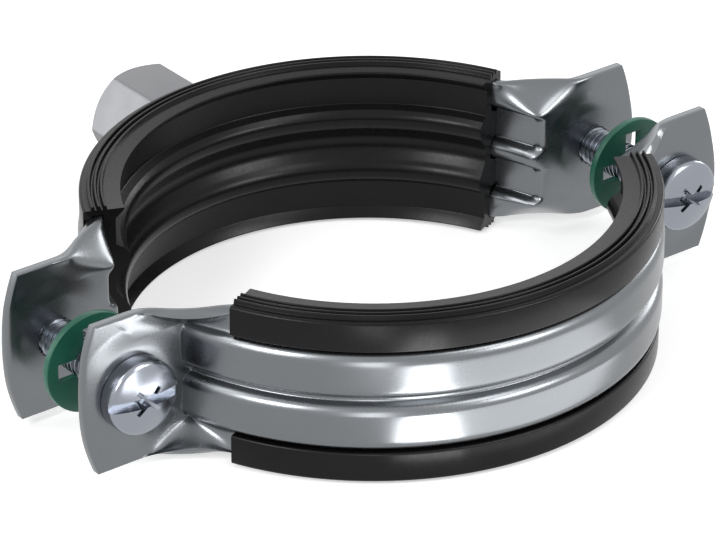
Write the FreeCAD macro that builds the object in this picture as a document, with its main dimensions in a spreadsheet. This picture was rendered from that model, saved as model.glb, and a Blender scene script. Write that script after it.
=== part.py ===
import FreeCAD, Part
import math
import os
import Sketcher

# Rubber lined two-screw pipe clamp for a pipe of about 60 mm, in millimetres.
# The pipe axis is +Z and the origin lies on it, half way across the band.
# +X points to the right pair of ears, +Y to the half that carries the connection nut.

DIMENSIONS = [
    ("band_inner_radius", 33.9, "inner face of the steel strip"),
    ("sheet_thickness", 1.3, "steel strip"),
    ("band_width", 20.0, "steel strip, along the pipe"),
    ("rib_height", 1.45, "how far the pressed ribs stand out"),
    ("rib_near_edge", 0.95, "outer rib edge next to the middle groove"),
    ("rib_margin", 3.9, "outer rib edge from the strip edge"),
    ("rib_flank_angle", 65.0, "slope of the rib flanks, degrees"),
    ("form_radius", 0.25, "tightest radius of the pressing"),
    ("half_gap", 7.5, "ear gap face from the centre plane"),
    ("ear_reach", 13.9, "ear corner outside the inner face of the band"),
    ("ear_bulge", 2.0, "tip of the rounded ear edge past its corners"),
    ("fold_radius", 0.6, "rounding of the fold on the gap side"),
    ("screw_reach", 8.9, "screw axis outside the inner face of the band"),
    ("dish_height", 0.5, "raised cone around each ear hole"),
    ("dish_top_radius", 5.4, "flat top of the raised cone"),
    ("dish_slope", 2.6, "foot of the raised cone past its top"),
    ("dish_hollow_slope", 1.75, "mouth of the hollow past the top of the cone"),
    ("gusset_depth", 2.75, "gusset point on the fold line, from the strip edge"),
    ("gusset_ear_reach", 7.5, "gusset foot on the ear, outside the inner face of the band"),
    ("gusset_band_angle", 23.0, "gusset foot on the band, degrees"),
    ("gusset_hollow_rise", 0.5, "point of the hollow behind the gusset, above the gusset point"),
    ("gusset_hollow_back", 1.2, "mouth of the hollow behind the facet, at the strip edge"),
    ("gusset_edge_reach", 2.87, "pressed sheet edge from the gusset point"),
    ("gusset_edge_radius", 8.46, "curve of the pressed sheet edge"),
    ("screw_radius", 2.5, "clamping screw, over the thread"),
    ("thread_hole_clearance", 0.05, "rear ear hole around the screw"),
    ("front_hole_clearance", 0.1, "front ear hole around the screw"),
    ("washer_hole_clearance", 0.05, "retainer washer around the screw"),
    ("head_radius", 4.85, "clamping screw head"),
    ("head_rim_height", 2.2, "straight side of the head"),
    ("head_crown_rise", 1.0, "crown above the straight side"),
    ("head_crown_radius", 3.5, "flat crown of the head"),
    ("head_rounding", 0.7, "edges of the head"),
    ("head_seat_clearance", 0.02, "head seat above the raised cone"),
    ("screw_length", 25.0, "seat to tip"),
    ("tip_chamfer", 0.8, "chamfered screw tip"),
    ("slot_width", 1.3, "straight slot across the head"),
    ("slot_depth", 1.3, "from the crown"),
    ("cross_width", 1.25, "wing of the cross recess"),
    ("cross_reach", 2.3, "wing tip from the screw axis"),
    ("cross_depth", 2.3, "from the crown"),
    ("cross_turn", 0.0, "cross recess against the slot, degrees"),
    ("slot_turn_left", 1.5, "slot against the band edge, degrees"),
    ("slot_turn_right", 5.5, "slot against the band edge, degrees"),
    ("washer_radius", 6.56, "retainer washer"),
    ("washer_thickness", 0.95, "retainer washer"),
    ("washer_position", -0.15, "middle of the washer from the centre plane"),
    ("washer_slot_width", 2.3, "arm of the cross opening"),
    ("washer_slot_reach", 4.87, "arm tip from the screw axis"),
    ("nut_across_flats", 13.0, "connection nut"),
    ("nut_height", 15.35, "outer end of the nut above the ribs"),
    ("nut_seat_clearance", 0.03, "nut saddle above the ribs"),
    ("nut_chamfer_angle", 45.0, "corner chamfer of the outer end, degrees"),
    ("nut_mouth_radius", 5.1, "countersunk mouth of the outer thread"),
    ("nut_large_radius", 4.25, "tapping hole of the outer thread"),
    ("nut_large_depth", 7.0, "depth of the outer thread"),
    ("nut_small_radius", 3.4, "tapping hole of the inner thread"),
    ("nut_small_depth", 6.0, "depth of the inner thread"),
    ("lining_clearance", 0.05, "rubber from the steel"),
    ("wall_thickness", 1.5, "lining beside the beads"),
    ("middle_thickness", 1.35, "lining in the middle recess"),
    ("bead_height", 3.2, "pipe land of the beads inside the strip"),
    ("bead_inner_foot", 1.0, "half width of the middle recess"),
    ("bead_inner_run", 2.05, "slope from the middle recess to the pipe land"),
    ("bead_land_width", 1.3, "pipe land"),
    ("bead_outer_run", 0.95, "slope from the pipe land to the shoulder"),
    ("shoulder_height", 2.65, "shoulder of the bead inside the strip"),
    ("shoulder_run", 0.65, "slope from the shoulder to the wall"),
    ("bead_rounding", 0.35, "rounding of the bead"),
    ("lip_height", 2.85, "inner corner of the side lips inside the strip"),
    ("side_thickness", 0.75, "lining beside the strip edge"),
    ("hem_thickness", 1.15, "hem around the strip edge"),
    ("hem_rib_clearance", 0.074, "edge of the hem from the foot of the rib"),
    ("hem_rounding", 0.35, "outer edges of the hem"),
    ("fin_height", 0.5, "fins of the side face"),
    ("fin_width", 0.42, "fins of the side face"),
    ("fin_pitch", 0.78, "fins of the side face"),
    ("first_fin_inset", 0.3, "innermost fin inside the inner face of the band"),
    ("rear_lining_end", 24.4, "lining end from the ears, degrees"),
    ("front_lining_end", 24.8, "lining end from the ears, degrees"),
]


def make_sheet(doc):
    """Spreadsheet with the driving dimensions, one named cell for each."""
    sheet = doc.addObject("Spreadsheet::Sheet", "Dims")
    for row, (name, value, note) in enumerate(DIMENSIONS, start=1):
        sheet.set("A%d" % row, name)
        sheet.set("B%d" % row, str(value))
        sheet.set("C%d" % row, note)
        sheet.setAlias("B%d" % row, name)
    doc.recompute()
    return sheet


def number(obj, text):
    """Present value of an expression."""
    return float(obj.evalExpression(text))


def origin_plane(body, role):
    return [o for o in body.Origin.OriginFeatures if o.Role == role][0]


def new_sketch(body, name, role, offset=None):
    """Sketch on one of the body's own planes, lifted off it by an expression if given."""
    sketch = body.newObject("Sketcher::SketchObject", name)
    sketch.AttachmentSupport = [(origin_plane(body, role), "")]
    sketch.MapMode = "FlatFace"
    if offset is not None:
        sketch.setExpression("AttachmentOffset.Base.z", offset)
    body.Document.recompute()
    return sketch


def add_corner_dimensions(sketch, geometry, point, corner):
    for kind, text in zip(("DistanceX", "DistanceY"), corner):
        index = sketch.addConstraint(Sketcher.Constraint(kind, -1, 1, geometry, point, number(sketch, text)))
        sketch.setExpression("Constraints[%d]" % index, text)


def add_outline(sketch, corners):
    """Closed outline of straight edges; each corner is a pair of expressions."""
    spots = [FreeCAD.Vector(number(sketch, across), number(sketch, up), 0) for across, up in corners]
    count = len(spots)
    edges = []
    for i in range(count):
        edges.append(sketch.addGeometry(Part.LineSegment(spots[i], spots[(i + 1) % count]), False))
    for i in range(count):
        following = edges[(i + 1) % count]
        sketch.addConstraint(Sketcher.Constraint("Coincident", edges[i], 2, following, 1))
    for i in range(count):
        add_corner_dimensions(sketch, edges[i], 1, corners[i])


def add_circle(sketch, radius):
    """Circle about the origin of the sketch."""
    circle = Part.Circle(FreeCAD.Vector(0, 0, 0), FreeCAD.Vector(0, 0, 1), number(sketch, radius))
    geometry = sketch.addGeometry(circle, False)
    sketch.addConstraint(Sketcher.Constraint("Coincident", geometry, 3, -1, 1))
    index = sketch.addConstraint(Sketcher.Constraint("Radius", geometry, number(sketch, radius)))
    sketch.setExpression("Constraints[%d]" % index, radius)


def revolve(body, name, sketch, angle="360 deg", cut=False):
    """Solid or groove turned about the upright axis of its sketch."""
    kind = "PartDesign::Groove" if cut else "PartDesign::Revolution"
    feature = body.newObject(kind, name)
    feature.Profile = sketch
    feature.ReferenceAxis = (sketch, ["V_Axis"])
    feature.Midplane = True
    feature.setExpression("Angle", angle)
    body.Document.recompute()
    return feature


def extrude(body, name, sketch, length, cut=False, reverse=False):
    """Pad or pocket; a reversed pad runs against the sketch normal."""
    feature = body.newObject("PartDesign::Pocket" if cut else "PartDesign::Pad", name)
    feature.Profile = sketch
    feature.Reversed = reverse
    feature.setExpression("Length", length)
    body.Document.recompute()
    return feature


def mirrored(body, name, features, role):
    mirror = body.newObject("PartDesign::Mirrored", name)
    mirror.Originals = features
    mirror.MirrorPlane = (origin_plane(body, role), [""])
    body.Tip = mirror
    body.Document.recompute()
    return mirror


def mirrored_twice(body, name, features):
    """Copies across the middle of the band and across the centre plane between the ears."""
    pattern = body.newObject("PartDesign::MultiTransform", name)
    steps = []
    for role in ("XY_Plane", "YZ_Plane"):
        step = body.newObject("PartDesign::Mirrored", "%s_%s" % (name, role[:2].lower()))
        step.MirrorPlane = (origin_plane(body, role), [""])
        steps.append(step)
    pattern.Originals = features
    pattern.Transformations = steps
    body.Tip = pattern
    body.Document.recompute()
    return pattern


def fillet(body, name, edges, radius):
    base = body.Tip
    feature = body.newObject("PartDesign::Fillet", name)
    feature.Base = (base, edges)
    feature.setExpression("Radius", radius)
    body.Document.recompute()
    return feature


def ring_edges(shape, radius, heights):
    """Edges that run round the pipe axis at a radius and at given heights on both sides."""
    found = []
    for number_of_edge, edge in enumerate(shape.Edges, start=1):
        curve = edge.Curve
        if not isinstance(curve, Part.Circle) or abs(curve.Axis.z) < 0.999:
            continue
        if abs(curve.Radius - radius) > 1e-3 or math.hypot(curve.Center.x, curve.Center.y) > 1e-3:
            continue
        if any(abs(abs(curve.Center.z) - height) < 1e-3 for height in heights):
            found.append("Edge%d" % number_of_edge)
    return found


# Expressions shared by the pieces

HALF_WIDTH = "Dims.band_width / 2"
STRIP_OUTER = "(Dims.band_inner_radius + Dims.sheet_thickness)"
RIB_OUTER = "(Dims.band_inner_radius + Dims.sheet_thickness + Dims.rib_height)"
EAR_OUTER = "(Dims.half_gap + Dims.sheet_thickness)"
FLANK_RUN = "Dims.rib_height / tan(Dims.rib_flank_angle)"
FLANK_SHIFT = "Dims.sheet_thickness * tan(Dims.rib_flank_angle / 2)"
RIB_FAR = "(Dims.band_width / 2 - Dims.rib_margin)"
EAR_CORNER = "(Dims.band_inner_radius + Dims.ear_reach)"
EAR_TIP = "(Dims.band_inner_radius + Dims.ear_reach + Dims.ear_bulge)"
SCREW_OFFSET = "(Dims.band_inner_radius + Dims.screw_reach)"


# Band halves: one pressing of flat strip with twin ribs, folded ears, corner gussets and dished holes

def band_arc(body):
    """Plain strip bent to its arc, ending inside the ears."""
    sketch = new_sketch(body, body.Name + "_strip", "YZ_Plane")
    inner = "Dims.band_inner_radius"
    add_outline(sketch, [(inner, "-" + HALF_WIDTH), (STRIP_OUTER, "-" + HALF_WIDTH),
                         (STRIP_OUTER, HALF_WIDTH), (inner, HALF_WIDTH)])
    arc = "180 deg - 2 * asin((Dims.half_gap + Dims.sheet_thickness / 2) / %s)" % STRIP_OUTER
    revolve(body, body.Name + "_arc", sketch, arc)
    return arc


def ear_outline(sketch):
    """Straight long sides and a round edge at each end."""
    corner = number(sketch, EAR_CORNER)
    tip = number(sketch, EAR_TIP)
    half = number(sketch, HALF_WIDTH)
    corners = ((corner, half), (-corner, half), (-corner, -half), (corner, -half))
    spots = [FreeCAD.Vector(x, y, 0) for x, y in corners]
    top = sketch.addGeometry(Part.LineSegment(spots[0], spots[1]), False)
    left = sketch.addGeometry(Part.Arc(spots[1], FreeCAD.Vector(-tip, 0, 0), spots[2]), False)
    bottom = sketch.addGeometry(Part.LineSegment(spots[2], spots[3]), False)
    right = sketch.addGeometry(Part.Arc(spots[3], FreeCAD.Vector(tip, 0, 0), spots[0]), False)
    add_corner_dimensions(sketch, top, 1, (EAR_CORNER, HALF_WIDTH))
    add_corner_dimensions(sketch, top, 2, ("-" + EAR_CORNER, HALF_WIDTH))
    add_corner_dimensions(sketch, bottom, 1, ("-" + EAR_CORNER, "-" + HALF_WIDTH))
    add_corner_dimensions(sketch, bottom, 2, (EAR_CORNER, "-" + HALF_WIDTH))
    round_radius = "((%s) ^ 2 + Dims.ear_bulge ^ 2) / (2 * Dims.ear_bulge)" % HALF_WIDTH
    for arc, line_a, end_a, line_b, end_b in ((left, top, 2, bottom, 1), (right, bottom, 2, top, 1)):
        for line, end in ((line_a, end_a), (line_b, end_b)):
            near = 1 if sketch.getPoint(arc, 1).distanceToPoint(sketch.getPoint(line, end)) < 1e-3 else 2
            sketch.addConstraint(Sketcher.Constraint("Coincident", arc, near, line, end))
        index = sketch.addConstraint(Sketcher.Constraint("Radius", arc, number(sketch, round_radius)))
        sketch.setExpression("Constraints[%d]" % index, round_radius)


def ears(body):
    """Ear slab across both ears; its middle goes with the bore."""
    outline = new_sketch(body, body.Name + "_ear_outline", "XZ_Plane", "-Dims.half_gap")
    ear_outline(outline)
    extrude(body, body.Name + "_ear_slab", outline, "Dims.sheet_thickness", reverse=True)


def dish_sketch(body, name):
    """Half section through a screw hole: across is the distance from the screw axis."""
    sketch = new_sketch(body, name, "XY_Plane")
    sketch.setExpression("AttachmentOffset.Base.x", SCREW_OFFSET)
    body.Document.recompute()
    return sketch


def dishes(body, raised_to_gap):
    """Shallow cone pressed around each screw hole, trimmed to the edge of the ear."""
    middle = "(Dims.half_gap + Dims.sheet_thickness / 2)"
    face, sign, back = EAR_OUTER, "+", "Dims.half_gap"
    if raised_to_gap:
        face, sign, back = "Dims.half_gap", "-", EAR_OUTER
    top = "Dims.dish_top_radius"
    foot = "Dims.dish_top_radius + Dims.dish_slope"
    mouth = "Dims.dish_top_radius + Dims.dish_hollow_slope"
    crest = "%s %s Dims.dish_height" % (face, sign)
    hollow = "%s %s Dims.dish_height" % (back, sign)
    cone = dish_sketch(body, body.Name + "_cone_section")
    add_outline(cone, [("0", middle), (foot, middle), (foot, face), (top, crest), ("0", crest)])
    raised = revolve(body, body.Name + "_cone", cone)
    mirrored(body, body.Name + "_cones", [raised], "YZ_Plane")
    dent = dish_sketch(body, body.Name + "_dent_section")
    add_outline(dent, [("0", hollow), (top, hollow), (mouth, back), ("0", back)])
    cut = revolve(body, body.Name + "_dent", dent, cut=True)
    mirrored(body, body.Name + "_dents", [cut], "YZ_Plane")
    trim = new_sketch(body, body.Name + "_trim_outline", "XZ_Plane")
    ear_outline(trim)
    wide, tall = "(%s + 5)" % EAR_TIP, "Dims.band_width"
    add_outline(trim, [("-" + wide, "-" + tall), (wide, "-" + tall), (wide, tall), ("-" + wide, tall)])
    extrude(body, body.Name + "_trim", trim, "Dims.half_gap * 2", cut=True)


# A gusset is laid out in an upright plane that looks along the fold's two gusset feet:
# across is the distance from the pipe axis square to those feet, up is the height.

GUSSET_POINT = "(Dims.band_width / 2 - Dims.gusset_depth)"
GUSSET_REACH = "(Dims.band_inner_radius + Dims.gusset_ear_reach)"
FOOT_X = "(%s * cos(Dims.gusset_band_angle))" % STRIP_OUTER
FOOT_Y = "(%s * sin(Dims.gusset_band_angle))" % STRIP_OUTER
FOLD_X = "sqrt(%s ^ 2 - %s ^ 2)" % (STRIP_OUTER, EAR_OUTER)
TURN = "atan((%s - %s) / (%s - %s))" % (GUSSET_REACH, FOOT_X, FOOT_Y, EAR_OUTER)
FEET = "(%s * cos(%s) + %s * sin(%s))" % (GUSSET_REACH, TURN, EAR_OUTER, TURN)
POINT = "(%s * cos(%s) + %s * sin(%s))" % (FOLD_X, TURN, EAR_OUTER, TURN)
CLIMB = "atan((%s - %s) / (%s - %s))" % (HALF_WIDTH, GUSSET_POINT, FEET, POINT)
FOOT_ON_EAR = "(%s * sin(%s) - %s * cos(%s))" % (GUSSET_REACH, TURN, EAR_OUTER, TURN)
FOOT_ON_BAND = "(%s * sin(%s) - %s * cos(%s))" % (FOOT_X, TURN, FOOT_Y, TURN)


def gusset_sketch(body, name, along):
    sketch = new_sketch(body, name, "XZ_Plane")
    turned = FreeCAD.Rotation(FreeCAD.Vector(0, 1, 0), 60)
    sketch.AttachmentOffset = FreeCAD.Placement(FreeCAD.Vector(), turned)
    sketch.setExpression("AttachmentOffset.Rotation.Angle", TURN)
    sketch.setExpression("AttachmentOffset.Base.x", "%s * sin(%s)" % (along, TURN))
    sketch.setExpression("AttachmentOffset.Base.z", "%s * cos(%s)" % (along, TURN))
    body.Document.recompute()
    return sketch


def gusset_outside(body):
    """Sheet pressed into the corner between ear and band: a solid with the sloping facet."""
    top = new_sketch(body, body.Name + "_gusset_top", "XY_Plane", HALF_WIDTH)
    sunk = "Dims.sheet_thickness / 2"
    ear_spot = ("%s + %s * sin(%s)" % (GUSSET_REACH, sunk, TURN),
                "%s - %s * cos(%s)" % (EAR_OUTER, sunk, TURN))
    band_spot = ("%s - %s * sin(%s)" % (FOOT_X, sunk, TURN),
                 "%s + %s * cos(%s)" % (FOOT_Y, sunk, TURN))
    corner = ("%s - %s" % (FOLD_X, sunk), "%s - %s" % (EAR_OUTER, sunk))
    add_outline(top, [corner, ear_spot, band_spot])
    point = new_sketch(body, body.Name + "_gusset_point", "XY_Plane", GUSSET_POINT)
    spot = FreeCAD.Vector(number(point, FOLD_X), number(point, EAR_OUTER), 0)
    vertex = point.addGeometry(Part.Point(spot), False)
    add_corner_dimensions(point, vertex, 1, (FOLD_X, EAR_OUTER))
    body.Document.recompute()
    loft = body.newObject("PartDesign::AdditiveLoft", body.Name + "_gusset_facet")
    loft.Profile = top
    loft.Sections = [(point, ["Vertex1"])]
    loft.Ruled = True
    body.Document.recompute()
    mirrored_twice(body, body.Name + "_gusset_facets", [loft])


def gusset_inside(body):
    """Hollow of the pressed corner on the gap side; the sheet is drawn thinner towards its edge."""
    hollow = gusset_sketch(body, body.Name + "_gusset_hollow_section", "20")
    fold_x = "sqrt(Dims.band_inner_radius ^ 2 - Dims.half_gap ^ 2)"
    point = "(%s * cos(%s) + Dims.half_gap * sin(%s))" % (fold_x, TURN, TURN)
    point_level = "(%s + Dims.gusset_hollow_rise)" % GUSSET_POINT
    mouth = "(%s - Dims.gusset_hollow_back)" % FEET
    slope = "((%s - %s) / (%s - %s))" % (HALF_WIDTH, point_level, mouth, point)
    above = "(%s + 1)" % HALF_WIDTH
    inner = "(%s - 10)" % point
    reach = "%s + 1 / %s" % (mouth, slope)
    start = "%s - 10 * %s" % (point_level, slope)
    add_outline(hollow, [(inner, start), (reach, above), (inner, above)])
    cut = extrude(body, body.Name + "_gusset_hollow", hollow, "20", cut=True, reverse=True)
    mirrored_twice(body, body.Name + "_gusset_hollows", [cut])


def gusset_edge(body):
    """Strip edge carried down by the pressing, cut square to the facet."""
    middle = "((%s + %s) / 2)" % (FOOT_ON_EAR, FOOT_ON_BAND)
    rim = gusset_sketch(body, body.Name + "_gusset_rim_section", middle)
    centre = "(Dims.gusset_edge_reach + Dims.gusset_edge_radius)"
    axis_x = "(%s + %s * cos(%s))" % (POINT, centre, CLIMB)
    axis_z = "(%s + %s * sin(%s))" % (GUSSET_POINT, centre, CLIMB)

    def spot(out, back):
        return ("%s + %s * sin(%s) - %s * cos(%s)" % (axis_x, out, CLIMB, back, CLIMB),
                "%s - %s * cos(%s) - %s * sin(%s)" % (axis_z, out, CLIMB, back, CLIMB))

    add_outline(rim, [spot("1", "0"), spot("-4", "0"), spot("-4", "Dims.gusset_edge_radius"),
                      spot("1", "Dims.gusset_edge_radius")])
    body.Document.recompute()
    cut = body.newObject("PartDesign::Groove", body.Name + "_gusset_rim")
    cut.Profile = rim
    cut.ReferenceAxis = (rim, ["Edge1"])
    cut.Midplane = True
    cut.setExpression("Angle", "360 deg")
    body.Document.recompute()
    mirrored_twice(body, body.Name + "_gusset_rims", [cut])


def ribs(body, arc):
    """Outside of the twin ribs that run right into the folds."""
    sketch = new_sketch(body, body.Name + "_rib_section", "YZ_Plane")
    inside = "Dims.band_inner_radius + Dims.sheet_thickness / 2"
    sink = "(Dims.rib_height + Dims.sheet_thickness / 2) / tan(Dims.rib_flank_angle)"
    near, far = "Dims.rib_near_edge", RIB_FAR
    add_outline(sketch, [(inside, "%s - %s" % (near, sink)), (RIB_OUTER, near),
                         (RIB_OUTER, far), (inside, "%s + %s" % (far, sink))])
    rib = revolve(body, body.Name + "_rib", sketch, arc)
    mirrored(body, body.Name + "_ribs", [rib], "XY_Plane")
    near, far, run = number(body, near), number(body, far), number(body, FLANK_RUN)
    shoulders = ring_edges(body.Tip.Shape, number(body, RIB_OUTER), [near, far])
    fillet(body, body.Name + "_rib_shoulders", shoulders, "Dims.sheet_thickness + Dims.form_radius")
    feet = ring_edges(body.Tip.Shape, number(body, STRIP_OUTER), [near - run, far + run])
    fillet(body, body.Name + "_rib_feet", feet, "Dims.form_radius")


def pockets(body):
    """Open inside of the band and the hollow side of the ribs."""
    bore = new_sketch(body, body.Name + "_bore_section", "YZ_Plane")
    inner = "Dims.band_inner_radius"
    add_outline(bore, [("0", "-Dims.band_width"), (inner, "-Dims.band_width"),
                       (inner, "Dims.band_width"), ("0", "Dims.band_width")])
    revolve(body, body.Name + "_bore", bore, cut=True)
    sketch = new_sketch(body, body.Name + "_pocket_section", "YZ_Plane")
    sunk = "Dims.band_inner_radius - Dims.sheet_thickness"
    floor = "Dims.band_inner_radius + Dims.rib_height"
    run = "(Dims.rib_height + Dims.sheet_thickness) / tan(Dims.rib_flank_angle)"
    near = "Dims.rib_near_edge + %s" % FLANK_SHIFT
    far = "%s - %s" % (RIB_FAR, FLANK_SHIFT)
    add_outline(sketch, [(sunk, "%s - %s" % (near, run)), (floor, near),
                         (floor, far), (sunk, "%s + %s" % (far, run))])
    pocket = revolve(body, body.Name + "_pocket", sketch, cut=True)
    mirrored(body, body.Name + "_pockets", [pocket], "XY_Plane")
    near, far, run = number(body, near), number(body, far), number(body, FLANK_RUN)
    mouths = ring_edges(body.Tip.Shape, number(body, inner), [near - run, far + run])
    fillet(body, body.Name + "_pocket_mouths", mouths, "Dims.sheet_thickness + Dims.form_radius")
    floors = ring_edges(body.Tip.Shape, number(body, floor), [near, far])
    fillet(body, body.Name + "_pocket_floors", floors, "Dims.form_radius")


def fold_edges(body):
    """Edges of the fold line on the gap side, between the gussets."""
    shape = body.Tip.Shape
    level = number(body, "Dims.half_gap")
    limit = number(body, "Dims.band_inner_radius + Dims.rib_height") + 0.05
    found = []
    for number_of_edge, edge in enumerate(shape.Edges, start=1):
        middle = edge.valueAt((edge.FirstParameter + edge.LastParameter) / 2)
        ends = [vertex.Point for vertex in edge.Vertexes]
        if any(abs(spot.y - level) > 1e-4 for spot in ends + [middle]):
            continue
        if all(math.hypot(spot.x, spot.y) < limit for spot in ends + [middle]):
            found.append("Edge%d" % number_of_edge)
    return found


def band_half(doc, name, raised_to_gap, clearance):
    body = doc.addObject("PartDesign::Body", name)
    arc = band_arc(body)
    ears(body)
    gusset_outside(body)
    ribs(body, arc)
    pockets(body)
    gusset_inside(body)
    gusset_edge(body)
    fillet(body, name + "_folds", fold_edges(body), "Dims.fold_radius")
    dishes(body, raised_to_gap)
    hole = new_sketch(body, name + "_hole_outline", "XZ_Plane")
    hole.setExpression("AttachmentOffset.Base.x", SCREW_OFFSET)
    body.Document.recompute()
    add_circle(hole, "Dims.screw_radius + Dims.%s" % clearance)
    cut = extrude(body, name + "_hole", hole, "Dims.half_gap * 2 + 10", cut=True, reverse=False)
    mirrored(body, name + "_holes", [cut], "YZ_Plane")
    return body


# Lining halves: moulded rubber with two beads for the pipe, side lips and hems around the strip edges

def lining_half(doc, name, end_angle):
    body = doc.addObject("PartDesign::Body", name)
    clear = "Dims.lining_clearance"
    outer = "(Dims.band_inner_radius - %s)" % clear
    fill = "%s + Dims.rib_height" % outer
    fill_near = "Dims.rib_near_edge + %s + 1.5 * %s" % (FLANK_SHIFT, clear)
    fill_far = "%s - %s - 1.5 * %s" % (RIB_FAR, FLANK_SHIFT, clear)
    channel = "(%s + %s)" % (STRIP_OUTER, clear)
    channel_end = "%s + %s" % (HALF_WIDTH, clear)
    wall = "%s - Dims.wall_thickness" % outer
    middle = "%s - Dims.middle_thickness" % outer
    crest = "%s - Dims.bead_height" % outer
    shoulder = "%s - Dims.shoulder_height" % outer
    land_start = "Dims.bead_inner_foot + Dims.bead_inner_run"
    land_end = "%s + Dims.bead_land_width" % land_start
    shoulder_level = "%s + Dims.bead_outer_run" % land_end
    side_face = "%s + Dims.side_thickness" % channel_end
    hem_face = "%s + Dims.hem_thickness" % channel
    hem_end = "%s + %s + Dims.hem_rib_clearance" % (RIB_FAR, FLANK_RUN)
    half = [
        (middle, "0"),
        (middle, "Dims.bead_inner_foot"),
        (crest, land_start),
        (crest, land_end),
        (shoulder, shoulder_level),
        (wall, "%s + Dims.shoulder_run" % shoulder_level),
        (wall, "%s - (Dims.lip_height - Dims.wall_thickness)" % side_face),
        ("%s - Dims.lip_height" % outer, side_face),
        (hem_face, side_face),
        (hem_face, hem_end),
        (channel, hem_end),
        (channel, channel_end),
        (outer, channel_end),
        (outer, "%s + %s" % (fill_far, FLANK_RUN)),
        (fill, fill_far),
        (fill, fill_near),
        (outer, "%s - %s" % (fill_near, FLANK_RUN)),
        (outer, "0"),
    ]
    section = new_sketch(body, name + "_section", "YZ_Plane")
    add_outline(section, half)
    arc = "180 deg - 2 deg * Dims.%s" % end_angle
    ring = revolve(body, name + "_ring", section, arc)
    mirrored(body, name + "_rings", [ring], "XY_Plane")
    fins = new_sketch(body, name + "_fin_section", "YZ_Plane")
    for step in range(3):
        spot = "Dims.band_inner_radius - Dims.first_fin_inset + %d * Dims.fin_pitch" % step
        low, high = "%s - Dims.fin_width / 2" % spot, "%s + Dims.fin_width / 2" % spot
        root, tip = "%s - Dims.fin_height" % side_face, "%s + Dims.fin_height" % side_face
        add_outline(fins, [(low, root), (high, root), (high, tip), (low, tip)])
    fin = revolve(body, name + "_fin", fins, arc)
    mirrored(body, name + "_fins", [fin], "XY_Plane")
    land_edges = [number(body, land_start), number(body, land_end)]
    crests = ring_edges(body.Tip.Shape, number(body, crest), land_edges)
    crests += ring_edges(body.Tip.Shape, number(body, shoulder), [number(body, shoulder_level)])
    crests += ring_edges(body.Tip.Shape, number(body, middle), [number(body, "Dims.bead_inner_foot")])
    fillet(body, name + "_bead_rounding", crests, "Dims.bead_rounding")
    hem = ring_edges(body.Tip.Shape, number(body, hem_face), [number(body, side_face), number(body, hem_end)])
    fillet(body, name + "_hem_rounding", hem, "Dims.hem_rounding")
    return body


# Connection nut: hexagon on the ribs with two tapped holes in line

def connection_nut(doc, name):
    body = doc.addObject("PartDesign::Body", name)
    flats = "Dims.nut_across_flats"
    end = "(%s + Dims.nut_height)" % RIB_OUTER
    corner = "(%s / sqrt(3))" % flats
    hexagon = new_sketch(body, name + "_hexagon", "XZ_Plane")
    add_outline(hexagon, [(corner, "0"), ("%s / 2" % corner, "%s / 2" % flats),
                          ("-%s / 2" % corner, "%s / 2" % flats), ("-" + corner, "0"),
                          ("-%s / 2" % corner, "-%s / 2" % flats), ("%s / 2" % corner, "-%s / 2" % flats)])
    extrude(body, name + "_block", hexagon, end, reverse=True)
    saddle = new_sketch(body, name + "_saddle_section", "YZ_Plane")
    seat = "%s + Dims.nut_seat_clearance" % RIB_OUTER
    add_outline(saddle, [("0", "-" + flats), (seat, "-" + flats), (seat, flats), ("0", flats)])
    revolve(body, name + "_saddle", saddle, cut=True)
    turned = new_sketch(body, name + "_turned_section", "XY_Plane")
    wide = "%s + 1" % corner
    drop = "(%s - %s / 2) * tan(Dims.nut_chamfer_angle)" % (wide, flats)
    add_outline(turned, [("%s / 2" % flats, end), (wide, "%s - %s" % (end, drop)),
                         (wide, "%s + 1" % end), ("%s / 2" % flats, "%s + 1" % end)])
    revolve(body, name + "_chamfer", turned, cut=True)
    bores = new_sketch(body, name + "_bore_section", "XY_Plane")
    step = "%s - Dims.nut_large_depth" % end
    mouth = "(Dims.nut_mouth_radius - Dims.nut_large_radius)"
    add_outline(bores, [("0", end), ("Dims.nut_mouth_radius", end),
                        ("Dims.nut_large_radius", "%s - %s" % (end, mouth)),
                        ("Dims.nut_large_radius", step), ("Dims.nut_small_radius", step),
                        ("Dims.nut_small_radius", "%s - Dims.nut_small_depth" % step),
                        ("0", "%s - Dims.nut_small_depth" % step)])
    revolve(body, name + "_bores", bores, cut=True)
    return body


# Clamping screw: pan head with a straight slot and a cross recess; the seat is at its own origin

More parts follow.
